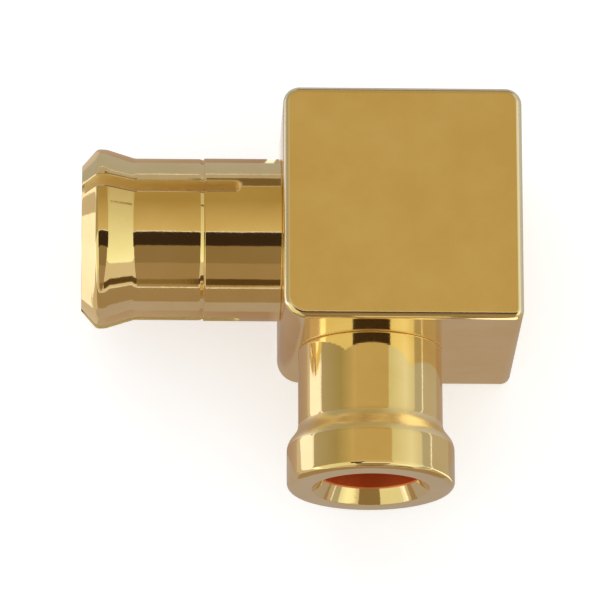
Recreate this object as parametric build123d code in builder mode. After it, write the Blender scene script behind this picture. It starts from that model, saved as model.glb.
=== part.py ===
from build123d import *
import math
import os

# Right-angle coaxial plug for a semi-rigid cable that is soldered in, in millimetres.
# It lies on the back face of its block. The plug sleeve points to -X, the cable ferrule to
# -Y, and the front face looks up, to +Z. The origin is on the back face, under the point
# where the plug axis and the cable axis cross.

# Block, cut from bar. Its faces are placed from the two axes.
block_depth = 5.2
plug_face_offset = 1.98
cap_face_offset = 3.25
cable_face_offset = 2.56
top_face_offset = 2.74
top_corner_radius = 0.36
plug_side_low_corner_radius = 0.5
cap_side_low_corner_radius = 0.22
face_edge_radius = 0.16

# Solder chamber, bored in from the cap side along the plug axis. Each bore is a little
# wider than the one before it.
plug_wall = 0.8
chamber_step = 0.05
cap_shoulder = 0.2
cap_thickness = 0.55
cap_edge_chamfer = 0.05

# Plug sleeve: the springy outer contact. Its lengths run from the tip backwards.
sleeve_radius = 1.8
sleeve_thickness = 0.4
sleeve_reach = 4.4
sleeve_shoulder = 0.16
tip_drop = 0.2
tip_bore_chamfer = 0.06
ring_height = 0.185
ring_lead = 0.34
ring_flat = 0.19
ring_taper = 0.64
ring_front_round = 0.14
ring_back_round = 0.55
taper_round = 0.4
land_length = 1.39
land_step = 0.013
land_step_length = 0.12

# Saw slots that part the sleeve into tines
slot_count = 3
slot_width = 0.3
slot_length = 3.5
slot_turn = 24

# Centre contact, with a slot in its tail for the cable's centre wire
pin_radius = 0.25
pin_recess = 0.6
pin_nose_radius = 0.12
pin_shoulder = 0.2
tail_shoulder = 0.1
tail_overhang = 0.75
tail_root_length = 0.33
wire_slot_width = 0.55

# Insulators
bead_length = 1.6
disc_clearance = 0.2

# Cable ferrule: collar, cone and countersunk mouth
cable_bore_radius = 1.1
ferrule_wall = 0.49
ferrule_length = 3.155
ferrule_shoulder = 0.21
collar_height = 0.255
collar_length = 0.975
cone_length = 0.34
cone_foot_round = 0.45
cone_top_round = 0.4
rim_round = 0.15
mouth_flare = 0.2
mouth_depth = 0.35

# Radial clearance between pieces that are pressed or soldered together
seat_gap = 0.01

# Places that follow from the sizes above
axis_height = block_depth / 2
block_width = plug_face_offset + cap_face_offset
block_height = cable_face_offset + top_face_offset
block_middle = ((cap_face_offset - plug_face_offset) / 2, (top_face_offset - cable_face_offset) / 2)
chamber_start = plug_wall - plug_face_offset
chamber_end = cap_face_offset - cap_thickness
sleeve_tail_radius = sleeve_radius - sleeve_shoulder
chamber_radius = sleeve_tail_radius + chamber_step
cap_radius = chamber_radius + cap_shoulder
ferrule_radius = cable_bore_radius + ferrule_wall
spigot_radius = ferrule_radius - ferrule_shoulder
plug_axis = Axis((0, 0, axis_height), (1, 0, 0))
cable_axis = Axis((0, 0, axis_height), (0, 1, 0))
axis_plane = Plane.XY.offset(axis_height)


def plug_plane(place):
    """A plane square to the plug axis and centred on it, looking to +X."""
    return Plane(origin=(place, 0, axis_height), x_dir=(0, 1, 0), z_dir=(1, 0, 0))


def radial_plane(turn):
    """A plane along the plug axis, its normal turned by some degrees from +Z towards +Y."""
    normal = (0, math.sin(math.radians(turn)), math.cos(math.radians(turn)))
    return Plane(origin=(0, 0, axis_height), x_dir=(1, 0, 0), z_dir=normal)


os.makedirs("parts", exist_ok=True)

# Body block: a square block with rounded edges, a stepped bore along the plug axis and a
# hole from below for the ferrule.
with BuildPart() as body_block:
    with BuildSketch(Plane.XY) as block_outline:
        with Locations(block_middle):
            Rectangle(block_width, block_height)
        fillet(block_outline.vertices().group_by(Axis.Y)[-1], top_corner_radius)
        fillet(block_outline.vertices().group_by(Axis.Y)[0].sort_by(Axis.X)[-1], cap_side_low_corner_radius)
        fillet(block_outline.vertices().group_by(Axis.Y)[0].sort_by(Axis.X)[0], plug_side_low_corner_radius)
    extrude(amount=block_depth)
    fillet(body_block.faces().filter_by(Plane.XY).edges(), face_edge_radius)
    with BuildSketch(plug_plane(-plug_face_offset)):
        Circle(sleeve_tail_radius + seat_gap)
    extrude(amount=plug_wall, mode=Mode.SUBTRACT)
    with BuildSketch(plug_plane(chamber_start)):
        Circle(chamber_radius)
    extrude(amount=chamber_end - chamber_start, mode=Mode.SUBTRACT)
    with BuildSketch(plug_plane(chamber_end)):
        Circle(cap_radius + seat_gap)
    extrude(amount=cap_thickness, mode=Mode.SUBTRACT)
    with BuildSketch(Plane.XZ.offset(cable_face_offset)):
        with Locations((0, axis_height)):
            Circle(spigot_radius + seat_gap)
    extrude(amount=-cable_face_offset, mode=Mode.SUBTRACT)
body_block.part.label = "body_block"
export_step(body_block.part, "parts/body_block.step")

# Plug sleeve: one turned profile with the snap ring near its tip, a shoulder on the block's
# face and a tail in the block's wall, then the saw slots.
sleeve_tip = -plug_face_offset - sleeve_reach
sleeve_bore_radius = sleeve_radius - sleeve_thickness
tip_radius = sleeve_radius - tip_drop
ring_radius = sleeve_radius + ring_height
land_radius = sleeve_radius - land_step
ring_front = sleeve_tip + ring_lead
ring_back = ring_front + ring_flat
land_front = ring_back + ring_taper
land_back = land_front + land_length
with BuildPart() as plug_sleeve:
    with BuildSketch(axis_plane) as sleeve_profile:
        with BuildLine():
            Polyline(
                (sleeve_tip, sleeve_bore_radius + tip_bore_chamfer),
                (sleeve_tip, tip_radius),
                (ring_front, ring_radius),
                (ring_back, ring_radius),
                (land_front, land_radius),
                (land_back, land_radius),
                (land_back + land_step_length, sleeve_radius),
                (-plug_face_offset, sleeve_radius),
                (-plug_face_offset, sleeve_tail_radius),
                (chamber_start, sleeve_tail_radius),
                (chamber_start, sleeve_bore_radius),
                (sleeve_tip + tip_bore_chamfer, sleeve_bore_radius),
                close=True,
            )
        make_face()
        fillet(sleeve_profile.vertices().sort_by_distance((ring_front, ring_radius))[0], ring_front_round)
        fillet(sleeve_profile.vertices().sort_by_distance((ring_back, ring_radius))[0], ring_back_round)
        fillet(sleeve_profile.vertices().sort_by_distance((land_front, land_radius))[0], taper_round)
    revolve(axis=plug_axis)
    for slot in range(slot_count):
        with BuildSketch(radial_plane(slot_turn + slot * 360 / slot_count)):
            with Locations((sleeve_tip, 0)):
                SlotOverall(2 * slot_length, slot_width)
        extrude(amount=ring_radius + slot_width, mode=Mode.SUBTRACT)
plug_sleeve.part.label = "plug_sleeve"
export_step(plug_sleeve.part, "parts/plug_sleeve.step")

# Front insulator: the bead in the sleeve's root, bored for the pin's body.
pin_body_radius = pin_radius + pin_shoulder
bead_front = chamber_start - bead_length
with BuildPart() as front_insulator:
    with BuildSketch(plug_plane(bead_front)):
        Circle(sleeve_bore_radius - seat_gap)
        Circle(pin_body_radius + seat_gap, mode=Mode.SUBTRACT)
    extrude(amount=bead_length)
front_insulator.part.label = "front_insulator"
export_step(front_insulator.part, "parts/front_insulator.step")

# Centre pin: a turned pin whose tail bears on the bead's rear face and is forked for the wire.
pin_tip = sleeve_tip + pin_recess
tail_radius = pin_body_radius + tail_shoulder
tail_root = chamber_start + tail_root_length
with BuildPart() as centre_pin:
    with BuildSketch(axis_plane) as pin_profile:
        with BuildLine():
            Polyline(
                (pin_tip, 0),
                (pin_tip, pin_radius),
                (bead_front, pin_radius),
                (bead_front, pin_body_radius),
                (chamber_start, pin_body_radius),
                (chamber_start, tail_radius),
                (tail_overhang, tail_radius),
                (tail_overhang, 0),
                close=True,
            )
        make_face()
        fillet(pin_profile.vertices().sort_by_distance((pin_tip, pin_radius))[0], pin_nose_radius)
    revolve(axis=plug_axis)
    with BuildSketch(plug_plane(tail_root)):
        Rectangle(2 * tail_radius, wire_slot_width)
    extrude(amount=tail_overhang - tail_root, mode=Mode.SUBTRACT)
centre_pin.part.label = "centre_pin"
export_step(centre_pin.part, "parts/centre_pin.step")

# Cable ferrule: one turned piece, its spigot in the block and its shoulder on the block's face.
mouth_place = -cable_face_offset - ferrule_length
collar_radius = ferrule_radius + collar_height
cone_end = mouth_place + collar_length
cone_start = cone_end + cone_length
spigot_top = -chamber_radius
with BuildPart() as cable_ferrule:
    with BuildSketch(axis_plane) as ferrule_profile:
        with BuildLine():
            Polyline(
                (cable_bore_radius, spigot_top),
                (spigot_radius, spigot_top),
                (spigot_radius, -cable_face_offset),
                (ferrule_radius, -cable_face_offset),
                (ferrule_radius, cone_start),
                (collar_radius, cone_end),
                (collar_radius, mouth_place),
                (cable_bore_radius + mouth_flare, mouth_place),
                (cable_bore_radius, mouth_place + mouth_depth),
                close=True,
            )
        make_face()
        fillet(ferrule_profile.vertices().sort_by_distance((ferrule_radius, cone_start))[0], cone_foot_round)
        fillet(ferrule_profile.vertices().sort_by_distance((collar_radius, cone_end))[0], cone_top_round)
        fillet(ferrule_profile.vertices().sort_by_distance((collar_radius, mouth_place))[0], rim_round)
    revolve(axis=cable_axis)
cable_ferrule.part.label = "cable_ferrule"
export_step(cable_ferrule.part, "parts/cable_ferrule.step")

# Rear insulator: a disc that fills the chamber behind the cable's bore.
disc_front = cable_bore_radius + disc_clearance
with BuildPart() as rear_insulator:
    with BuildSketch(plug_plane(disc_front)):
        Circle(chamber_radius - seat_gap)
    extrude(amount=chamber_end - disc_front)
rear_insulator.part.label = "rear_insulator"
export_step(rear_insulator.part, "parts/rear_insulator.step")

# Access cap: pressed in flush with the block's face, with a fine chamfer around it.
with BuildPart() as access_cap:
    with BuildSketch(plug_plane(chamber_end)):
        Circle(cap_radius)
    extrude(amount=cap_thickness)
    chamfer(access_cap.faces().sort_by(Axis.X)[-1].edges(), cap_edge_chamfer)
access_cap.part.label = "access_cap"
export_step(access_cap.part, "parts/access_cap.step")
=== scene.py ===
import math

import bmesh
import bpy
from mathutils import Matrix, Vector


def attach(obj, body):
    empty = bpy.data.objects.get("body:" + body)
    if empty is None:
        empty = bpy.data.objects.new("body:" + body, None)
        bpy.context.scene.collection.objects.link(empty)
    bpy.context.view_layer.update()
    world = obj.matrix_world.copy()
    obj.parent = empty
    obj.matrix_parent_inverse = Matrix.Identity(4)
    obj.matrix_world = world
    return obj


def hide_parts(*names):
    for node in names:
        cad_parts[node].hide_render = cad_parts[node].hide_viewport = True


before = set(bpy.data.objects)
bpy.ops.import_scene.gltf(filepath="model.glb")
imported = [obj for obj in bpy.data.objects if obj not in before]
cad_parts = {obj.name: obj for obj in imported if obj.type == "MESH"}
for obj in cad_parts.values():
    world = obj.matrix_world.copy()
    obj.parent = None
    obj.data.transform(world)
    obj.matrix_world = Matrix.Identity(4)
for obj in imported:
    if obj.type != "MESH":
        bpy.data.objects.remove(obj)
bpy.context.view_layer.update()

MM = 0.001

# Sizes in millimetres, as in the CAD source. The origin is on the block's back face, under the
# point where the plug axis and the cable axis cross.

# Block, cut from bar
BLOCK_LOW = (-1.98, -2.56, 0.0)
BLOCK_HIGH = (3.25, 2.74, 5.2)
TOP_CORNER = 0.36
PLUG_SIDE_LOW_CORNER = 0.5
CAP_SIDE_LOW_CORNER = 0.22
FACE_EDGE = 0.16

# Solder chamber and cap
PLUG_WALL = 0.8
CHAMBER_STEP = 0.05
CAP_SHOULDER = 0.2
CAP_THICKNESS = 0.55
CAP_CHAMFER = 0.05

# Plug sleeve, from its tip backwards
SLEEVE_RADIUS = 1.8
SLEEVE_THICKNESS = 0.4
SLEEVE_REACH = 4.4
SLEEVE_SHOULDER = 0.16
TIP_DROP = 0.2
TIP_CHAMFER = 0.06
RING_HEIGHT = 0.185
RING_LEAD = 0.34
RING_FLAT = 0.19
RING_TAPER = 0.64
RING_FRONT_ROUND = 0.14
RING_BACK_ROUND = 0.55
TAPER_ROUND = 0.4
LAND_LENGTH = 1.39
LAND_STEP = 0.013
SLOT_COUNT = 3
SLOT_WIDTH = 0.3
SLOT_LENGTH = 3.5
SLOT_TURN = 24.0

# Centre contact and the bead that holds it
PIN_RADIUS = 0.25
PIN_RECESS = 0.6
PIN_NOSE = 0.12
PIN_SHOULDER = 0.2
TAIL_SHOULDER = 0.1
TAIL_END = 0.75
TAIL_ROOT_LENGTH = 0.33
FORK_WIDTH = 0.55
BEAD_LENGTH = 1.6

# Cable ferrule: collar, cone and countersunk mouth
CABLE_BORE = 1.1
FERRULE_WALL = 0.49
FERRULE_LENGTH = 3.155
FERRULE_SHOULDER = 0.21
COLLAR_HEIGHT = 0.255
COLLAR_LENGTH = 0.975
CONE_LENGTH = 0.34
CONE_FOOT_ROUND = 0.45
CONE_TOP_ROUND = 0.4
RIM_ROUND = 0.15
MOUTH_DEPTH = 0.35
MOUTH_FLARE = 0.2

# Radial clearance between pieces that are pressed or soldered together
SEAT_GAP = 0.01

# Fine forms that the solids leave to this script: the groove behind the land and broken edges
GROOVE_START = 0.04
GROOVE_DEPTH = 0.03
GROOVE_FRONT = 0.095
GROOVE_BACK = 0.01
ROOT_ROUND = 0.04
TIP_BREAK = 0.03
SLOT_BREAK = 0.014
MOUTH_BREAK = 0.015
BORE_BREAK = 0.02
TAIL_BREAK = 0.04
BEAD_BREAK = 0.03
CAP_BREAK = 0.03

# Radii and places that follow from the sizes above
AXIS_HEIGHT = BLOCK_HIGH[2] / 2
SLEEVE_BORE = SLEEVE_RADIUS - SLEEVE_THICKNESS
SLEEVE_TAIL = SLEEVE_RADIUS - SLEEVE_SHOULDER
SLEEVE_TIP = BLOCK_LOW[0] - SLEEVE_REACH
TIP_RADIUS = SLEEVE_RADIUS - TIP_DROP
RING_RADIUS = SLEEVE_RADIUS + RING_HEIGHT
RING_FRONT = SLEEVE_TIP + RING_LEAD
RING_BACK = RING_FRONT + RING_FLAT
LAND_RADIUS = SLEEVE_RADIUS - LAND_STEP
LAND_FRONT = RING_BACK + RING_TAPER
LAND_BACK = LAND_FRONT + LAND_LENGTH
GROOVE_RADIUS = LAND_RADIUS - GROOVE_DEPTH
CHAMBER_START = BLOCK_LOW[0] + PLUG_WALL
CHAMBER_END = BLOCK_HIGH[0] - CAP_THICKNESS
CHAMBER_RADIUS = SLEEVE_TAIL + CHAMBER_STEP
CAP_RADIUS = CHAMBER_RADIUS + CAP_SHOULDER
PIN_TIP = SLEEVE_TIP + PIN_RECESS
PIN_BODY = PIN_RADIUS + PIN_SHOULDER
PIN_TAIL = PIN_BODY + TAIL_SHOULDER
FORK_ROOT = CHAMBER_START + TAIL_ROOT_LENGTH
BEAD_FRONT = CHAMBER_START - BEAD_LENGTH
MOUTH = BLOCK_LOW[1] - FERRULE_LENGTH
FERRULE_RADIUS = CABLE_BORE + FERRULE_WALL
SPIGOT_RADIUS = FERRULE_RADIUS - FERRULE_SHOULDER
SPIGOT_TOP = -CHAMBER_RADIUS
COLLAR_RADIUS = FERRULE_RADIUS + COLLAR_HEIGHT
CONE_END = MOUTH + COLLAR_LENGTH
CONE_START = CONE_END + CONE_LENGTH

# How finely the pieces are divided
STEPS = 192
ARC_STEPS = 10
SLOT_END_STEPS = 12
PAST_SLOT_STEPS = (1, 2, 4, 8)
PLACE_DIGITS = 5
SUPPORT = 0.03
TINY = 1e-6

# The sleeve's line starts this far before its tip, so that the tip's corner can be rounded
TIP_LEAD = 0.1

# How far cutters reach past the piece that they cut
CUT_PAST = 0.5

# In metres: points nearer than this become one, and edges shorter than this go
WELD = 1e-7
NO_LENGTH = 1e-8

# Edges that turn by more than this are sharp
SHARP = math.radians(32)

# Which faces get a painted tone, by how far they face one way
EDGE_FROM = 0.99
EDGE_LOWEST = -0.35
WALL_LEAN = 0.5
CONE_LEAN = 0.1


def plug_point(along, radius, angle):
    """A point on a piece turned about the plug axis. The angle runs from +Z towards +Y."""
    return (along, radius * math.sin(angle), AXIS_HEIGHT + radius * math.cos(angle))


def cable_point(along, radius, angle):
    """A point on a piece turned about the cable axis. The angle runs from +Z towards +X."""
    return (radius * math.sin(angle), along, AXIS_HEIGHT + radius * math.cos(angle))


def rounded(corners):
    """The points of a profile. A corner is (along, radius) or (along, radius, rounding)."""
    points = []
    for i, corner in enumerate(corners):
        here = Vector(corner[:2])
        if len(corner) == 2:
            points.append(tuple(here))
            continue
        before = (Vector(corners[i - 1][:2]) - here).normalized()
        after = (Vector(corners[(i + 1) % len(corners)][:2]) - here).normalized()
        half = before.angle(after) / 2
        reach = corner[2] / math.tan(half)
        centre = here + (before + after).normalized() * corner[2] / math.sin(half)
        start = here + before * reach - centre
        end = here + after * reach - centre
        spokes = [start, *(start.slerp(end, k / ARC_STEPS) for k in range(1, ARC_STEPS)), end]
        points += [tuple(centre + spoke.normalized() * corner[2]) for spoke in spokes]
    return points


def supported(points):
    """The same profile with points near the ends of its long stretches, which keep the shading even."""
    kept = []
    for i, here in enumerate(points):
        start = Vector(here)
        ahead = Vector(points[(i + 1) % len(points)])
        kept.append(tuple(here))
        length = (ahead - start).length
        if length > 2 * SUPPORT:
            step = (ahead - start).normalized() * min(SUPPORT, length / 6)
            kept += [tuple(start + step), tuple(ahead - step)]
    return kept


def linked(name, data):
    """A new object in the scene."""
    made = bpy.data.objects.new(name, data)
    bpy.context.scene.collection.objects.link(made)
    return made


def mesh_from(name, points, faces):
    """A mesh in metres from points in millimetres."""
    mesh = bpy.data.meshes.new(name)
    mesh.from_pydata([tuple(c * MM for c in p) for p in points], [], faces)
    return mesh


def piece_from(name, points, faces, node):
    """A piece that stands for one CAD node, from points in millimetres."""
    mesh = mesh_from(name, points, faces)
    piece = linked(name, mesh)
    work = bmesh.new()
    work.from_mesh(mesh)
    bmesh.ops.remove_doubles(work, verts=work.verts, dist=WELD)
    bmesh.ops.dissolve_degenerate(work, edges=work.edges, dist=NO_LENGTH)
    bmesh.ops.recalc_face_normals(work, faces=work.faces)
    work.to_mesh(mesh)
    work.free()
    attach(piece, "root")
    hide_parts(node)
    return piece


def smooth(piece):
    """Smooth shading with sharp corners, and flat faces that stay flat."""
    mesh = piece.data
    mesh.polygons.foreach_set("use_smooth", [True] * len(mesh.polygons))
    mesh.set_sharp_from_angle(angle=SHARP)
    weighted = piece.modifiers.new("even_normals", "WEIGHTED_NORMAL")
    weighted.keep_sharp = True
    weighted.weight = 100


def apply_modifiers(piece):
    graph = bpy.context.evaluated_depsgraph_get()
    made = bpy.data.meshes.new_from_object(piece.evaluated_get(graph), depsgraph=graph)
    piece.modifiers.clear()
    old = piece.data
    piece.data = made
    bpy.data.meshes.remove(old)


def band(first, second, count):
    """The faces between two rings of so many points each."""
    faces = []
    for step in range(count):
        turn = (step + 1) % count
        faces.append((
            first * count + step, first * count + turn, second * count + turn, second * count + step,
        ))
    return faces


def turned(name, profile, place, node):
    """A closed profile turned all the way round its axis."""
    profile = supported(profile)
    count = len(profile)
    points = []
    for along, radius in profile:
        for step in range(STEPS):
            points.append(place(along, radius, 2 * math.pi * step / STEPS))
    faces = []
    for i in range(count):
        j = (i + 1) % count
        if profile[i][1] > TINY or profile[j][1] > TINY:
            faces += band(i, j, STEPS)
    return piece_from(name, points, faces, node)


def cutter(name, profile, place):
    """A turned solid that is only used to cut another piece."""
    points = []
    for along, radius in profile:
        points += [place(along, radius, 2 * math.pi * step / STEPS) for step in range(STEPS)]
    faces = [tuple(range(STEPS)), tuple(range((len(profile) - 1) * STEPS, len(profile) * STEPS))[::-1]]
    for i in range(len(profile) - 1):
        for step in range(STEPS):
            turn = (step + 1) % STEPS
            faces.append((i * STEPS + step, (i + 1) * STEPS + step, (i + 1) * STEPS + turn, i * STEPS + turn))
    mesh = mesh_from(name, points, faces)
    work = bmesh.new()
    work.from_mesh(mesh)
    bmesh.ops.recalc_face_normals(work, faces=work.faces)
    work.to_mesh(mesh)
    work.free()
    return linked(name, mesh)


def mark(piece, test, name="painted_light_mark"):
    """Marks the faces for which the test of their middle, in millimetres, and their normal holds. The gold
    has a painted tone there: painted light on the block's edges and in the sleeve's slots and bore, painted
    shade in the ferrule's bore."""
    marks = piece.data.attributes.new(name, "FLOAT", "FACE")
    for face, value in zip(piece.data.polygons, marks.data):
        value.value = float(test(face.center / MM, face.normal))


def cut(piece, tools):
    """Takes the tools out of the piece."""
    for tool in tools:
        taken = piece.modifiers.new("cut", "BOOLEAN")
        taken.operation = "DIFFERENCE"
        taken.solver = "EXACT"
        taken.object = tool
    apply_modifiers(piece)
    for tool in tools:
        bpy.data.objects.remove(tool)


def block_outline(inset):
    """The block's outline as a loop of points, drawn in by a distance."""
    loop = []
    sides = (
        (BLOCK_HIGH[0], BLOCK_HIGH[1], TOP_CORNER, 0),
        (BLOCK_LOW[0], BLOCK_HIGH[1], TOP_CORNER, 1),
        (BLOCK_LOW[0], BLOCK_LOW[1], PLUG_SIDE_LOW_CORNER, 2),
        (BLOCK_HIGH[0], BLOCK_LOW[1], CAP_SIDE_LOW_CORNER, 3),
    )
    for x, y, radius, quarter in sides:
        inward_x = -1 if x > 0 else 1
        inward_y = -1 if y > 0 else 1
        centre = (x + inward_x * radius, y + inward_y * radius)
        for k in range(ARC_STEPS + 1):
            angle = math.pi / 2 * (quarter + k / ARC_STEPS)
            reach = radius - inset
            loop.append((centre[0] + reach * math.cos(angle), centre[1] + reach * math.sin(angle)))
    return loop


def make_block():
    """The square block with its rounded edges, bored for the sleeve, the chamber, the cap and the ferrule."""
    rings = []
    for k in range(ARC_STEPS + 1):
        angle = math.pi / 2 * k / ARC_STEPS
        rings.append((FACE_EDGE * (1 - math.sin(angle)), BLOCK_LOW[2] + FACE_EDGE * (1 - math.cos(angle))))
    for k in range(ARC_STEPS + 1):
        angle = math.pi / 2 * (1 - k / ARC_STEPS)
        rings.append((FACE_EDGE * (1 - math.sin(angle)), BLOCK_HIGH[2] - FACE_EDGE * (1 - math.cos(angle))))
    points = []
    for inset, height in rings:
        points += [(x, y, height) for x, y in block_outline(inset)]
    count = len(points) // len(rings)
    faces = [tuple(range(count))[::-1], tuple(range(len(points) - count, len(points)))]
    for i in range(len(rings) - 1):
        faces += band(i, i + 1, count)
    block = piece_from("elbow_block", points, faces, "body_block")
    bore = [
        (BLOCK_LOW[0] - CUT_PAST, SLEEVE_TAIL + SEAT_GAP),
        (CHAMBER_START, SLEEVE_TAIL + SEAT_GAP),
        (CHAMBER_START, CHAMBER_RADIUS),
        (CHAMBER_END, CHAMBER_RADIUS),
        (CHAMBER_END, CAP_RADIUS + SEAT_GAP),
        (BLOCK_HIGH[0] + CUT_PAST, CAP_RADIUS + SEAT_GAP),
    ]
    hole = [
        (BLOCK_LOW[1] - CUT_PAST, SPIGOT_RADIUS + SEAT_GAP),
        (0.0, SPIGOT_RADIUS + SEAT_GAP),
    ]
    cut(block, [cutter("bore_tool", bore, plug_point), cutter("hole_tool", hole, cable_point)])
    # The rounded edges that don't face down get a paler tone, a painted highlight
    mark(block, lambda place, normal: 1 - EDGE_FROM < abs(normal.z) < EDGE_FROM and normal.y > EDGE_LOWEST)
    smooth(block)
    return block


def sleeve_outer(along):
    """The sleeve's outer radius at a place between its tip and the block's face."""
    profile = sleeve_profile()
    for (x0, r0), (x1, r1) in zip(profile, profile[1:]):
        if x0 <= along <= x1 and x1 > x0:
            return r0 + (r1 - r0) * (along - x0) / (x1 - x0)
    return profile[-1][1]


def sleeve_profile():
    """The sleeve's outer line from its tip to the block's face."""
    groove = LAND_BACK + GROOVE_START
    corners = [
        (SLEEVE_TIP - TIP_LEAD, TIP_RADIUS),
        (SLEEVE_TIP, TIP_RADIUS, TIP_BREAK),
        (RING_FRONT, RING_RADIUS, RING_FRONT_ROUND),
        (RING_BACK, RING_RADIUS, RING_BACK_ROUND),
        (LAND_FRONT, LAND_RADIUS, TAPER_ROUND),
        (groove, LAND_RADIUS),
        (groove + GROOVE_FRONT, GROOVE_RADIUS),
        (groove + GROOVE_FRONT + GROOVE_BACK, SLEEVE_RADIUS),
        (BLOCK_LOW[0], SLEEVE_RADIUS),
    ]
    return rounded(corners)


def make_sleeve():
    """The slotted sleeve, laid out as three tines that join behind the slots' round ends."""
    half = SLOT_WIDTH / 2
    slot_end = SLEEVE_TIP + SLOT_LENGTH
    slot_centre = slot_end - half
    chamfer_end = SLEEVE_TIP + TIP_CHAMFER
    places = [x for x, radius in supported(sleeve_profile()) if x >= SLEEVE_TIP]
    for k in range(SLOT_END_STEPS + 1):
        places.append(slot_centre + half * math.sin(math.pi / 2 * k / SLOT_END_STEPS))
    places += [slot_end + SUPPORT * k for k in PAST_SLOT_STEPS]
    places.append(chamfer_end)
    stations = []
    for x in sorted(set(round(place, PLACE_DIGITS) for place in places)):
        stations.append((x, sleeve_outer(x), SLEEVE_BORE + max(0.0, chamfer_end - x)))
    stations.append((BLOCK_LOW[0], SLEEVE_TAIL, SLEEVE_BORE))
    stations.append((CHAMBER_START, SLEEVE_TAIL, SLEEVE_BORE))

    def slot_half(x):
        if x <= slot_centre:
            return half
        return math.sqrt(max(0.0, half * half - (x - slot_centre) ** 2)) if x < slot_end - TINY else 0.0

    columns = STEPS // SLOT_COUNT
    points = []
    faces = []
    index = {}

    def add(tine, i, column, which):
        key = (tine, i, column, which)
        if key not in index:
            x, big, small = stations[i]
            radius = big if which == "outer" else small
            open_by = math.asin(slot_half(x) / radius)
            start = math.radians(SLOT_TURN) + tine * 2 * math.pi / SLOT_COUNT
            span = 2 * math.pi / SLOT_COUNT - 2 * open_by
            points.append(plug_point(x, radius, start + open_by + span * column / columns))
            index[key] = len(points) - 1
        return index[key]

    last = len(stations) - 1
    for tine in range(SLOT_COUNT):
        for column in range(columns):
            for i in range(last):
                faces.append([add(tine, i, column, "outer"), add(tine, i, column + 1, "outer"),
                              add(tine, i + 1, column + 1, "outer"), add(tine, i + 1, column, "outer")])
                faces.append([add(tine, i, column, "inner"), add(tine, i + 1, column, "inner"),
                              add(tine, i + 1, column + 1, "inner"), add(tine, i, column + 1, "inner")])
            for i in (0, last):
                faces.append([add(tine, i, column, "outer"), add(tine, i, column, "inner"),
                              add(tine, i, column + 1, "inner"), add(tine, i, column + 1, "outer")])
        for i in range(last):
            if slot_half(stations[i][0]) == 0.0:
                continue
            for column in (0, columns):
                faces.append([add(tine, i, column, "outer"), add(tine, i + 1, column, "outer"),
                              add(tine, i + 1, column, "inner"), add(tine, i, column, "inner")])
    sleeve = piece_from("slotted_sleeve", points, faces, "plug_sleeve")
    edge = sleeve.modifiers.new("broken_edges", "BEVEL")
    edge.width = SLOT_BREAK * MM
    edge.segments = 2
    edge.limit_method = "ANGLE"
    edge.angle_limit = SHARP
    edge.use_clamp_overlap = False
    apply_modifiers(sleeve)

    # The slot walls and the sleeve's bore get a paler tone: painted light, which offsets the shade of light
    # bouncing between the walls
    def in_slots(place, normal):
        out = Vector((0.0, place.y, place.z - AXIS_HEIGHT))
        slotted = chamfer_end < place.x < slot_end + TIP_CHAMFER
        wall = slotted and abs(normal.dot(out.normalized())) < WALL_LEAN
        return wall or out.length < SLEEVE_BORE + SEAT_GAP

    mark(sleeve, in_slots)
    smooth(sleeve)
    return sleeve


def make_ferrule():
    """The turned cable ferrule with its collar, cone and countersunk mouth."""
    low = BLOCK_LOW[1]
    profile = rounded([
        (SPIGOT_TOP, CABLE_BORE),
        (SPIGOT_TOP, SPIGOT_RADIUS),
        (low, SPIGOT_RADIUS),
        (low, FERRULE_RADIUS, ROOT_ROUND),
        (CONE_START, FERRULE_RADIUS, CONE_FOOT_ROUND),
        (CONE_END, COLLAR_RADIUS, CONE_TOP_ROUND),
        (MOUTH, COLLAR_RADIUS, RIM_ROUND),
        (MOUTH, CABLE_BORE + MOUTH_FLARE, MOUTH_BREAK),
        (MOUTH + MOUTH_DEPTH, CABLE_BORE, BORE_BREAK),
    ])
    ferrule = turned("solder_ferrule", profile, cable_point, "cable_ferrule")
    # The bore gets a deep red tone: painted shade, as of light bouncing many times down the bore
    mark(ferrule, lambda place, normal: math.hypot(place.x, place.z - AXIS_HEIGHT) < CABLE_BORE + SEAT_GAP)

    # The faces towards the block are duller, and get a paler painted tone that stands in for a weaker
    # reflection of the block's gold
    def facing_block(place, normal):
        cone = CONE_END - CONE_TOP_ROUND < place.y < CONE_START + CONE_FOOT_ROUND
        root = low - ROOT_ROUND < place.y < low
        return normal.y > CONE_LEAN and (cone or root)

    mark(ferrule, facing_block, "satin_and_painted_light")
    smooth(ferrule)
    return ferrule


def make_pin():
    """The centre contact with its round nose and the fork for the cable's wire."""
    profile = rounded([
        (PIN_TIP, 0.0),
        (PIN_TIP, PIN_RADIUS, PIN_NOSE),
        (BEAD_FRONT, PIN_RADIUS),
        (BEAD_FRONT, PIN_BODY),
        (CHAMBER_START, PIN_BODY),
        (CHAMBER_START, PIN_TAIL),
        (TAIL_END, PIN_TAIL, TAIL_BREAK),
        (TAIL_END, 0.0),
    ])
    pin = turned("centre_contact", profile, plug_point, "centre_pin")
    half = FORK_WIDTH / 2
    corners = [
        (x, y, AXIS_HEIGHT + z)
        for x in (FORK_ROOT, TAIL_END + CUT_PAST)
        for y in (-PIN_TAIL - CUT_PAST, PIN_TAIL + CUT_PAST)
        for z in (-half, half)
    ]
    sides = [(0, 1, 3, 2), (4, 6, 7, 5), (0, 4, 5, 1), (2, 3, 7, 6), (0, 2, 6, 4), (1, 5, 7, 3)]
    cut(pin, [linked("fork_tool", mesh_from("fork_tool", corners, sides))])
    smooth(pin)
    return pin


def make_bead():
    """The white bead that holds the centre contact in the sleeve's root."""
    profile = rounded([
        (BEAD_FRONT, PIN_BODY + SEAT_GAP),
        (BEAD_FRONT, SLEEVE_BORE - SEAT_GAP, BEAD_BREAK),
        (CHAMBER_START, SLEEVE_BORE - SEAT_GAP),
        (CHAMBER_START, PIN_BODY + SEAT_GAP),
    ])
    bead = turned("dielectric_bead", profile, plug_point, "front_insulator")
    smooth(bead)
    return bead


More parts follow.
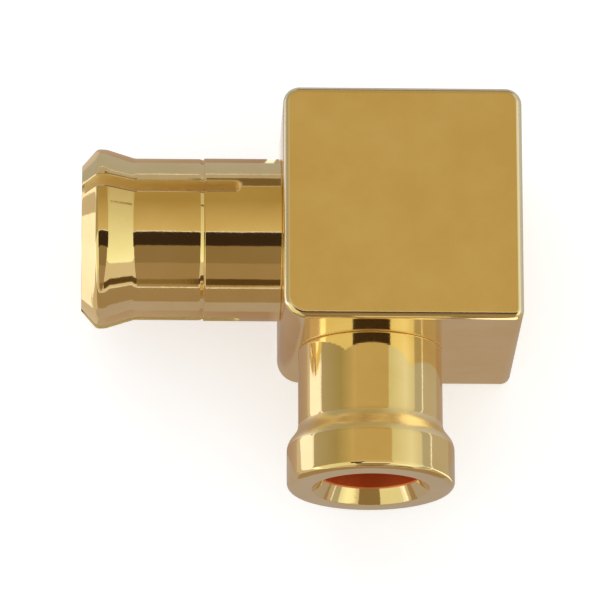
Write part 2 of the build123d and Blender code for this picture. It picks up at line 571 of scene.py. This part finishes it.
def make_cap():
    """The round cap, flush with the block's face."""
    profile = rounded([
        (CHAMBER_END, 0.0),
        (CHAMBER_END, CAP_RADIUS),
        (BLOCK_HIGH[0] - CAP_CHAMFER, CAP_RADIUS),
        (BLOCK_HIGH[0], CAP_RADIUS - CAP_CHAMFER, CAP_BREAK),
        (BLOCK_HIGH[0], 0.0),
    ])
    cap = turned("round_cap", profile, plug_point, "access_cap")
    smooth(cap)
    return cap


# Materials

GOLD = (0.975, 0.775, 0.43)
GOLD_DEEP = (0.925, 0.72, 0.365)
# A paler tone in the sleeve's slots and bore: painted light
SLOT_PAINTED_LIGHT = (1.0, 0.86, 0.50)
SLOT_ROUGH = 0.55
# A deep red tone in the ferrule's bore: painted shade
BORE_PAINTED_SHADE = (1.0, 0.34, 0.13)
BORE_ROUGH = 0.5
# A paler tone for the ferrule's faces towards the block: painted light
SATIN_PAINTED_LIGHT = (1.0, 0.88, 0.62)
SATIN_ROUGH = 0.32
BLOCK_ROUGH = 0.12
TURNED_ROUGH = 0.06
# A paler tone for the block's rounded edges: a painted highlight
EDGE_PAINTED_HIGHLIGHT = (1.0, 0.90, 0.72)
EDGE_ROUGH = 0.15
PTFE = (0.86, 0.86, 0.84)
PTFE_DEEP = (0.80, 0.79, 0.76)


class Nodes:
    """A short way to write a node tree."""

    def __init__(self, tree):
        self.tree = tree
        tree.nodes.clear()

    def add(self, kind, inputs=None, **settings):
        """A node. Each of its inputs is given a value or the output of another node."""
        node = self.tree.nodes.new(kind)
        for key, value in settings.items():
            setattr(node, key, value)
        for key, value in (inputs or {}).items():
            socket = node.inputs[key]
            if isinstance(value, bpy.types.NodeSocket):
                self.tree.links.new(value, socket)
            else:
                socket.default_value = value
        return node

    def mix(self, factor, low, high):
        """A colour between two others. A colour mix has its inputs at 0, 6 and 7 and its result at 2."""
        return self.add("ShaderNodeMix", {0: factor, 6: low, 7: high}, data_type="RGBA").outputs[2]

    def spread(self, factor, low, high):
        """A value that runs from low to high."""
        run = self.add("ShaderNodeMapRange", {"Value": factor, "To Min": low, "To Max": high})
        return run.outputs["Result"]

    def attribute(self, name):
        """The value that the faces carry under this name."""
        return self.add("ShaderNodeAttribute", attribute_name=name).outputs["Fac"]


def colour(rgb):
    """An opaque colour."""
    return (*rgb, 1.0)


def gold(name, rough, painted_tone, marked_rough, turned_about=None):
    """Gold plate: a slightly uneven colour, a fine satiny grain and, on turned pieces, fine tool rings. The
    faces that mark() picks have a painted tone and are duller. The faces towards the block are duller too,
    and have a paler painted tone that stands in for a weaker reflection of the block."""
    material = bpy.data.materials.new(name)
    material.use_nodes = True
    nodes = Nodes(material.node_tree)
    place = nodes.add("ShaderNodeTexCoord").outputs["Object"]
    cloud = nodes.add("ShaderNodeTexNoise", {
        "Vector": place, "Scale": 900.0, "Detail": 4.0, "Roughness": 0.6,
    }).outputs["Fac"]
    patchy = nodes.add("ShaderNodeMapRange", {"Value": cloud, "From Min": 0.35, "From Max": 0.65})
    painted_light_mark = nodes.attribute("painted_light_mark")
    satin_and_painted_light = nodes.attribute("satin_and_painted_light")
    tone = nodes.mix(patchy.outputs["Result"], colour(GOLD_DEEP), colour(GOLD))
    # Painted light and shade: the tones of the faces that mark() picks
    tone = nodes.mix(painted_light_mark, tone, colour(painted_tone))
    tone = nodes.mix(satin_and_painted_light, tone, colour(SATIN_PAINTED_LIGHT))
    dull = nodes.spread(cloud, rough * 0.8, rough * 1.25)
    dull = nodes.spread(painted_light_mark, dull, marked_rough)
    dull = nodes.spread(satin_and_painted_light, dull, SATIN_ROUGH)
    grain = nodes.add("ShaderNodeTexNoise", {
        "Vector": place, "Scale": 14000.0, "Detail": 3.0, "Roughness": 0.55,
    })
    wave = nodes.add("ShaderNodeTexNoise", {"Vector": place, "Scale": 1500.0, "Detail": 1.0})
    bump = nodes.add("ShaderNodeBump", {"Height": grain.outputs["Fac"], "Strength": 0.3, "Distance": 1.2e-6})
    swell = nodes.add("ShaderNodeBump", {
        "Height": wave.outputs["Fac"], "Normal": bump.outputs["Normal"], "Strength": 0.35, "Distance": 6e-6,
    })
    normal = swell.outputs["Normal"]
    if turned_about:
        split = nodes.add("ShaderNodeSeparateXYZ", {"Vector": place})
        rings = nodes.add("ShaderNodeTexNoise", {
            "W": split.outputs[turned_about], "Scale": 40000.0, "Detail": 2.0,
        }, noise_dimensions="1D")
        tool = nodes.add("ShaderNodeBump", {
            "Height": rings.outputs["Fac"], "Normal": normal, "Strength": 0.3, "Distance": 6e-7,
        })
        normal = tool.outputs["Normal"]
    shader = nodes.add("ShaderNodeBsdfPrincipled", {
        "Base Color": tone, "Metallic": 1.0, "Roughness": dull, "Normal": normal,
    })
    nodes.add("ShaderNodeOutputMaterial", {"Surface": shader.outputs["BSDF"]})
    return material


def ptfe():
    """Turned white PTFE: waxy, with fine tool rings."""
    material = bpy.data.materials.new("turned_ptfe")
    material.use_nodes = True
    nodes = Nodes(material.node_tree)
    place = nodes.add("ShaderNodeTexCoord").outputs["Object"]
    cloud = nodes.add("ShaderNodeTexNoise", {"Vector": place, "Scale": 1800.0, "Detail": 3.0})
    rings = nodes.add("ShaderNodeTexNoise", {"Vector": place, "Scale": 9000.0, "Detail": 2.0})
    bump = nodes.add("ShaderNodeBump", {"Height": rings.outputs["Fac"], "Strength": 0.4, "Distance": 3e-6})
    shader = nodes.add("ShaderNodeBsdfPrincipled", {
        "Base Color": nodes.mix(cloud.outputs["Fac"], colour(PTFE_DEEP), colour(PTFE)),
        "Roughness": 0.45,
        "Subsurface Weight": 0.2,
        "Subsurface Radius": (0.0006, 0.0006, 0.0006),
        "Normal": bump.outputs["Normal"],
    })
    nodes.add("ShaderNodeOutputMaterial", {"Surface": shader.outputs["BSDF"]})
    return material


def dress(piece, material):
    """Gives the piece this material alone."""
    piece.data.materials.clear()
    piece.data.materials.append(material)


# Studio. Cards round the object show in its reflections alone.

CARD_CUTS = 12
CARD_CENTRE = (-0.5, 0.0, AXIS_HEIGHT)

# How far the curved cards stand from their centre, in metres
FAR = 0.40
NEARER = 0.36

# Where cards meet, in degrees: turns from left to right, then tilts from the photo's foot upwards
LEFT_END = -88.0
LEFT_STRIP_END = -78.0
LEFT_SPLIT = -50.0
ROOF_LEFT = -25.0
ROOF_RIGHT = 27.0
RIGHT_SPLIT = 56.0
RIGHT_SEAM = 73.0
RIGHT_END = 88.0
LOWEST = -89.0
LEFT_FLOOR_TOP = -52.0
FRONT_SPLIT = -51.0
RIGHT_FOOT = -42.0
FRONT_TOP = -26.0
ROOF_FOOT = -5.5
ROOF_SPLIT = 40.0
RIGHT_HEAD = 55.0
ROOF_HEAD = 66.0

# The cards' lights
ROOF_FRONT = (0.65, 0.52, 0.265)
ROOF_BACK = (0.41, 0.30, 0.11)
LEFT_FRONT = (0.40, 0.34, 0.17)
LEFT_BACK = (0.30, 0.24, 0.10)
LEFT_EDGE = (0.43, 0.38, 0.28)
RIGHT_FRONT = (1.00, 1.04, 0.71)
RIGHT_FRONT_FULL = (1.10, 1.18, 0.95)
RIGHT_BACK = (0.45, 0.36, 0.18)
RIGHT_BACK_FULL = (0.62, 0.56, 0.38)
RIGHT_FRONT_EDGE = (0.90, 0.90, 0.70)
RIGHT_BACK_EDGE = (0.50, 0.45, 0.30)
SEAM_LIGHT = (0.46, 0.44, 0.36)
SLIT_LIGHT = (0.20, 0.16, 0.05)
CAMERA_LIGHT = (0.04, 0.025, 0.015)
FRONT_LIGHT = (0.27, 0.195, 0.10)
LOW_LIGHT = (0.35, 0.255, 0.145)
LOW_SEAM_LIGHT = (0.24, 0.16, 0.06)
LEFT_LOW_LIGHT = (0.80, 0.80, 0.55)
LEFT_FLOOR_LIGHT = (0.60, 0.52, 0.40)
RIGHT_LOW_LIGHT = (0.68, 0.61, 0.46)
BACK_LIGHT = (0.47, 0.43, 0.38)
STRIP_LIGHT = (1.5, 1.45, 1.2)
ROOT_SEAM_LIGHT = (0.19, 0.13, 0.055)
ROOT_LOW_SEAM_LIGHT = (0.10, 0.06, 0.02)
GROUND_BACK = (0.45, 0.44, 0.43)
GROUND_RIGHT = (0.50, 0.45, 0.36)
GROUND_FRONT = (0.35, 0.26, 0.16)
GROUND_LEFT = (0.62, 0.55, 0.48)
# Lights of the cards over the seen floor: painted shade of the floor near the object as the metal mirrors it;
# NEAR_EDGE is painted light
NEAR_PLUG_LEFT = (0.49, 0.40, 0.33)
NEAR_PLUG = (0.38, 0.27, 0.21)
NEAR_BLOCK = (0.44, 0.355, 0.29)
NEAR_EDGE = (1.15, 1.15, 1.15)
NEAR_LEFT = (0.62, 0.54, 0.46)
NEAR_CABLE_LEFT = (0.46, 0.40, 0.37)
NEAR_CABLE_RIGHT = (0.42, 0.38, 0.38)
MOUTH_LIGHT = (1.4, 1.42, 1.3)
MOUTH_MIDDLE_LIGHT = (0.85, 0.78, 0.56)


def direction(turn, tilt):
    """A direction turned from +Z towards +X about the Y axis and tilted towards +Y, in degrees."""
    turn = math.radians(turn)
    tilt = math.radians(tilt)
    return Vector((math.cos(tilt) * math.sin(turn), math.sin(tilt), math.cos(tilt) * math.cos(turn)))


def card_material():
    """The glow that the cards share. It reads each card's own light."""
    material = bpy.data.materials.new("card_light")
    material.use_nodes = True
    nodes = Nodes(material.node_tree)
    light = nodes.add("ShaderNodeAttribute", attribute_name="light")
    glow = nodes.add("ShaderNodeEmission", {"Color": light.outputs["Color"]})
    nodes.add("ShaderNodeOutputMaterial", {"Surface": glow.outputs["Emission"]})
    material.cycles.emission_sampling = "NONE"
    return material


def card(name, points, faces, lights):
    """A card from points in metres, with a light for each point."""
    mesh = bpy.data.meshes.new(name)
    mesh.from_pydata(points, [], faces)
    shades = mesh.color_attributes.new("light", "FLOAT_COLOR", "POINT")
    for shade, light in zip(shades.data, lights):
        shade.color = colour(light)
    made = linked(name, mesh)
    made.data.materials.append(bpy.data.materials["card_light"])
    made.visible_camera = False
    made.visible_diffuse = False
    made.visible_shadow = False


def grid_faces(row):
    """The faces of a square grid of points with so many in a row."""
    return [
        (i * row + j, i * row + j + 1, (i + 1) * row + j + 1, (i + 1) * row + j)
        for i in range(row - 1)
        for j in range(row - 1)
    ]


def panel(name, turns, tilts, low, high, distance=FAR):
    """A curved card. Its light runs from low to high as it tilts, each for its first and its last turn."""
    points = []
    lights = []
    for i in range(CARD_CUTS + 1):
        across = i / CARD_CUTS
        turn = turns[0] + (turns[1] - turns[0]) * across
        at_low = Vector(low[0]).lerp(Vector(low[-1]), across)
        at_high = Vector(high[0]).lerp(Vector(high[-1]), across)
        for j in range(CARD_CUTS + 1):
            up = j / CARD_CUTS
            tilt = tilts[0] + (tilts[1] - tilts[0]) * up
            points.append(Vector(CARD_CENTRE) * MM + direction(turn, tilt) * distance)
            lights.append(at_low.lerp(at_high, up))
    card(name, points, grid_faces(CARD_CUTS + 1), lights)


def plain(name, turns, tilts, light, distance=FAR):
    """A curved card with one light."""
    panel(name, turns, tilts, (light,), (light,), distance)


ROOT_SEAM_START = -3.6
ROOT_SEAM_END = 12.0
ROOT_SEAM_REACH = 20.0


def root_seam(name, tilts, light):
    """A card along the plug axis from the sleeve's root, between two turns about that axis."""
    points = []
    for x in (ROOT_SEAM_START, ROOT_SEAM_END):
        for tilt in tilts:
            points.append(Vector(plug_point(x, ROOT_SEAM_REACH, math.radians(tilt))) * MM)
    card(name, points, [(0, 1, 3, 2)], [light] * 4)


# The part of the floor that the camera sees, in millimetres, with a little to spare
SEEN_LOW = (-8.5, -7.9)
SEEN_HIGH = (5.4, 6.7)
GROUND_REACH = 380.0
GROUND_HEIGHT = 0.02
GROUND_CUTS = 16

# Where the floor's cards inside that part meet
NEAR_SPLIT = -4.2
NEAR_LEFT_SPLIT = -6.6
NEAR_GAP = (BLOCK_LOW[0] - 0.2, BLOCK_LOW[0])
NEAR_GAP_START = 2.3


def ground(name, azimuths, light):
    """A card on the floor outside what the camera sees, between two directions from the +X axis."""
    middle = ((SEEN_LOW[0] + SEEN_HIGH[0]) / 2, (SEEN_LOW[1] + SEEN_HIGH[1]) / 2)
    half = ((SEEN_HIGH[0] - SEEN_LOW[0]) / 2, (SEEN_HIGH[1] - SEEN_LOW[1]) / 2)
    points = []
    faces = []
    for k in range(GROUND_CUTS + 1):
        angle = math.radians(azimuths[0] + (azimuths[1] - azimuths[0]) * k / GROUND_CUTS)
        towards = (math.cos(angle), math.sin(angle))
        inner = 1 / max(abs(towards[0]) / half[0], abs(towards[1]) / half[1])
        for reach in (inner, GROUND_REACH):
            x = middle[0] + towards[0] * reach
            y = middle[1] + towards[1] * reach
            points.append(Vector((x, y, GROUND_HEIGHT)) * MM)
        if k:
            faces.append((2 * k - 2, 2 * k - 1, 2 * k + 1, 2 * k))
    card(name, points, faces, [light] * len(points))


def near_ground(name, x_span, y_span, left, right):
    """A card over a part of the floor that the camera sees, which only reflections show. Its light is a
    painted stand-in for the floor near the object as the metal mirrors it: painted shade on most cards,
    painted light on near_edge.
    """
    points = []
    lights = []
    for x, light in zip(x_span, (left, right)):
        for y in y_span:
            points.append(Vector((x, y, GROUND_HEIGHT)) * MM)
            lights.append(light)
    card(name, points, [(0, 1, 3, 2)], lights)


MOUTH_CARD_PLACE = -5.85
MOUTH_RIGHT = (
    (2.3, 3.5), (2.5, 2.4), (3.2, 0.5), (5.2, 0.4), (5.2, 5.4), (3.45, 5.4), (3.2, 4.4), (2.6, 3.9),
)
MOUTH_MIDDLE = ((-0.4, 4.75), (1.9, 4.75), (1.9, 5.7), (-0.4, 5.7))


def mouth_card(name, corners, light):
    """A card in line with the cable's mouth. The block's lower face and the cone mirror it."""
    points = [Vector((x, MOUTH_CARD_PLACE, z)) * MM for x, z in corners]
    card(name, points, [tuple(range(len(points)))], [light] * len(points))


def make_upper_cards():
    """The cards towards the photo's upper side, in the middle and to the left."""
    roof = (ROOF_LEFT, ROOF_RIGHT)
    plain("back_card", (-90.0, 90.0), (64.0, 89.0), BACK_LIGHT)
    panel("roof_front", roof, (ROOF_FOOT, ROOF_SPLIT), (ROOF_FRONT,), (ROOF_BACK,))
    plain("roof_back", roof, (ROOF_SPLIT, ROOF_HEAD), ROOF_BACK)
    panel("left_roof", (LEFT_SPLIT, ROOF_LEFT), (ROOF_FOOT, ROOF_HEAD),
          (LEFT_FRONT, ROOF_FRONT), (LEFT_BACK, ROOF_BACK))
    panel("left_card", (-87.0, LEFT_SPLIT), (ROOF_FOOT, ROOF_HEAD),
          (LEFT_EDGE, LEFT_FRONT), (LEFT_EDGE, LEFT_BACK))


def make_right_cards():
    """The cards towards the photo's right side."""
    sides = (RIGHT_FOOT, RIGHT_HEAD)
    panel("right_panel", (ROOF_RIGHT, RIGHT_SPLIT), sides,
          (RIGHT_FRONT, RIGHT_FRONT_FULL), (RIGHT_BACK, RIGHT_BACK_FULL))
    panel("right_wing", (RIGHT_SPLIT, RIGHT_SEAM), sides,
          (RIGHT_FRONT_FULL, RIGHT_FRONT_EDGE), (RIGHT_BACK_FULL, RIGHT_BACK_EDGE))
    plain("right_top", (ROOF_RIGHT, RIGHT_END), (RIGHT_HEAD, ROOF_HEAD), RIGHT_BACK)
    plain("right_seam", (RIGHT_SEAM, RIGHT_END), (RIGHT_FOOT, 56.0), SEAM_LIGHT)
    plain("right_slit", (36.0, 60.0), (30.0, 33.0), SLIT_LIGHT, NEARER)
    plain("right_low", (ROOF_RIGHT, 89.0), (LOWEST, RIGHT_FOOT), RIGHT_LOW_LIGHT)


def make_lower_cards():
    """The dark bar behind the camera, and the cards towards the photo's lower side."""
    front = (ROOF_LEFT, ROOF_RIGHT)
    plain("camera_bar", (-30.0, 30.0), (FRONT_TOP, -6.5), CAMERA_LIGHT, NEARER)
    plain("front_card", front, (FRONT_SPLIT, FRONT_TOP), FRONT_LIGHT)
    plain("front_low", front, (LOWEST, FRONT_SPLIT), LOW_LIGHT)
    plain("front_seam", front, (-84.0, -76.0), LOW_SEAM_LIGHT, NEARER)
    plain("left_low_panel", (LEFT_STRIP_END, ROOF_LEFT), (LEFT_FLOOR_TOP, ROOF_FOOT), LEFT_LOW_LIGHT)
    plain("left_strip", (LEFT_END, LEFT_STRIP_END), (-32.0, ROOF_FOOT), STRIP_LIGHT)
    plain("left_floor_card", (LEFT_END, ROOF_LEFT), (LOWEST, LEFT_FLOOR_TOP), LEFT_FLOOR_LIGHT)


def make_ground_cards():
    """The cards on the floor, first round the part that the camera sees and then inside it. The ones inside
    it are painted shade of the floor near the object, and near_edge is painted light.
    """
    ground("ground_back", (40.0, 147.0), GROUND_BACK)
    ground("ground_left", (152.5, 163.0), GROUND_LEFT)
    ground("ground_left_front", (196.0, 225.0), LEFT_FLOOR_LIGHT)
    ground("ground_front", (225.0, 318.0), GROUND_FRONT)
    ground("ground_right", (-42.0, 40.0), GROUND_RIGHT)
    upper = (NEAR_SPLIT, SEEN_HIGH[1])
    near_ground("near_left", (SEEN_LOW[0], NEAR_LEFT_SPLIT), upper, NEAR_LEFT, NEAR_LEFT)
    near_ground("near_plug", (NEAR_LEFT_SPLIT, NEAR_GAP[0]), upper, NEAR_PLUG_LEFT, NEAR_PLUG)
    near_ground("near_root", NEAR_GAP, (NEAR_SPLIT, NEAR_GAP_START), NEAR_PLUG, NEAR_BLOCK)
    near_ground("near_edge", NEAR_GAP, (NEAR_GAP_START, SEEN_HIGH[1]), NEAR_EDGE, NEAR_EDGE)
    near_ground("near_block", (NEAR_GAP[1], SEEN_HIGH[0]), upper, NEAR_BLOCK, NEAR_BLOCK)
    near_ground("near_low", (SEEN_LOW[0], SEEN_HIGH[0]), (SEEN_LOW[1], NEAR_SPLIT),
                NEAR_CABLE_LEFT, NEAR_CABLE_RIGHT)


def make_cards():
    card_material()
    make_upper_cards()
    make_right_cards()
    make_lower_cards()
    root_seam("root_seam", (62.6, 77.1), ROOT_SEAM_LIGHT)
    root_seam("root_low_seam", (-82.2, -72.5), ROOT_LOW_SEAM_LIGHT)
    make_ground_cards()
    mouth_card("mouth_card_right", MOUTH_RIGHT, MOUTH_LIGHT)
    mouth_card("mouth_card_middle", MOUTH_MIDDLE, MOUTH_MIDDLE_LIGHT)


def shown_rays(nodes):
    """One for the rays that see the background, and zero for those that only light things."""
    path = nodes.add("ShaderNodeLightPath")
    shown = path.outputs["Is Camera Ray"]
    for kind in ("Is Glossy Ray", "Is Transmission Ray"):
        shown = nodes.add("ShaderNodeMath", {0: shown, 1: path.outputs[kind]}, operation="MAXIMUM").outputs[0]
    return shown


FLOOR_ALBEDO = 0.8
FLOOR_GLOW = 0.5
FLOOR_REACH = 2000.0
FLOOR_GAP = 0.01


def make_floor():
    """The pale floor, a hair under the object. It glows a little for the rays that see it."""
    corners = [(x * FLOOR_REACH, y * FLOOR_REACH, 0.0) for x, y in ((-1, -1), (1, -1), (1, 1), (-1, 1))]
    floor = linked("floor", mesh_from("floor", corners, [(0, 1, 2, 3)]))
    floor.location.z = -FLOOR_GAP * MM
    material = bpy.data.materials.new("pale_floor")
    material.use_nodes = True
    nodes = Nodes(material.node_tree)
    matte = nodes.add("ShaderNodeBsdfDiffuse", {"Color": colour((FLOOR_ALBEDO,) * 3)})
    seen = shown_rays(nodes)
    strength = nodes.add("ShaderNodeMath", {0: seen, 1: FLOOR_GLOW}, operation="MULTIPLY")
    glow = nodes.add("ShaderNodeEmission", {"Strength": strength.outputs[0]})
    both = nodes.add("ShaderNodeAddShader", {0: matte.outputs["BSDF"], 1: glow.outputs["Emission"]})
    nodes.add("ShaderNodeOutputMaterial", {"Surface": both.outputs["Shader"]})
    material.cycles.emission_sampling = "NONE"
    floor.data.materials.append(material)


WHITE = (1.0, 1.0, 1.0)
WORLD_LIGHT = 0.76


def make_world():
    """A world that is white to look at and lights the object a little less."""
    world = bpy.data.worlds.new("white_studio")
    bpy.context.scene.world = world
    world.use_nodes = True
    nodes = Nodes(world.node_tree)
    strength = nodes.spread(shown_rays(nodes), WORLD_LIGHT, 1.0)
    light = nodes.add("ShaderNodeBackground", {"Color": colour(WHITE), "Strength": strength})
    nodes.add("ShaderNodeOutputWorld", {"Surface": light.outputs["Background"]})
    world.cycles.sampling_method = "NONE"


LAMP_TOWARDS = (-0.4, 0.7, 1.0)
LAMP_DISTANCE = 0.5
LAMP_SIZE = 0.25
LAMP_POWER = 0.15


def make_lamp():
    """A soft square lamp that shines on the object and isn't mirrored in it."""
    lamp = bpy.data.lights.new("key_light", "AREA")
    lamp.size = LAMP_SIZE
    lamp.energy = LAMP_POWER
    holder = linked("key_light", lamp)
    towards = Vector(LAMP_TOWARDS)
    holder.location = towards.normalized() * LAMP_DISTANCE
    holder.rotation_euler = towards.to_track_quat("Z", "Y").to_euler()
    holder.visible_glossy = False


def make_studio():
    make_world()
    make_floor()
    make_lamp()
    make_cards()


# Camera, fitted to the edges of the block and the ends of both arms

CAMERA_ELEVATION = 17.15
CAMERA_AZIMUTH = -1.926
CAMERA_ROLL = -0.156
CAMERA_AIM = (BLOCK_LOW[0], BLOCK_LOW[1], AXIS_HEIGHT)
CAMERA_SIDE = 0.434
CAMERA_UP = 1.124
CAMERA_DISTANCE = 145.586
FOCAL_PIXELS = 6600.0
IMAGE_PIXELS = 600.0
SENSOR = 36.0
CLIP_START = 0.001
CLIP_END = 10.0


def make_camera():
    """The long lens that sees the object as the photo does."""
    roll = math.radians(CAMERA_ROLL)
    back = direction(CAMERA_AZIMUTH, -CAMERA_ELEVATION)
    right = (-back).cross(Vector((0, 1, 0))).normalized()
    up = right.cross(-back)
    side = right * math.cos(roll) + up * math.sin(roll)
    top = up * math.cos(roll) - right * math.sin(roll)
    place = Vector(CAMERA_AIM) + back * CAMERA_DISTANCE + side * CAMERA_SIDE + top * CAMERA_UP
    data = bpy.data.cameras.new("camera")
    data.sensor_width = SENSOR
    data.lens = FOCAL_PIXELS / IMAGE_PIXELS * SENSOR
    data.clip_start = CLIP_START
    data.clip_end = CLIP_END
    camera = linked("camera", data)
    facing = Matrix((side, top, back)).transposed()
    camera.matrix_world = Matrix.Translation(place * MM) @ facing.to_4x4()
    bpy.context.scene.camera = camera


# How often light may bounce between the bright walls
BOUNCES = 40

make_camera()
make_studio()
block_gold = gold("satin_gold_plate", BLOCK_ROUGH, EDGE_PAINTED_HIGHLIGHT, EDGE_ROUGH)
turned_gold_x = gold("turned_gold_plug", TURNED_ROUGH, SLOT_PAINTED_LIGHT, SLOT_ROUGH, turned_about="X")
turned_gold_y = gold("turned_gold_ferrule", TURNED_ROUGH, BORE_PAINTED_SHADE, BORE_ROUGH, turned_about="Y")
white = ptfe()
dress(make_block(), block_gold)
dress(make_sleeve(), turned_gold_x)
dress(make_ferrule(), turned_gold_y)
dress(make_pin(), turned_gold_x)
dress(make_cap(), block_gold)
dress(make_bead(), white)
dress(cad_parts["rear_insulator"], white)

scene = bpy.context.scene
scene.view_settings.view_transform = "Standard"
scene.cycles.glossy_bounces = BOUNCES
scene.cycles.max_bounces = BOUNCES
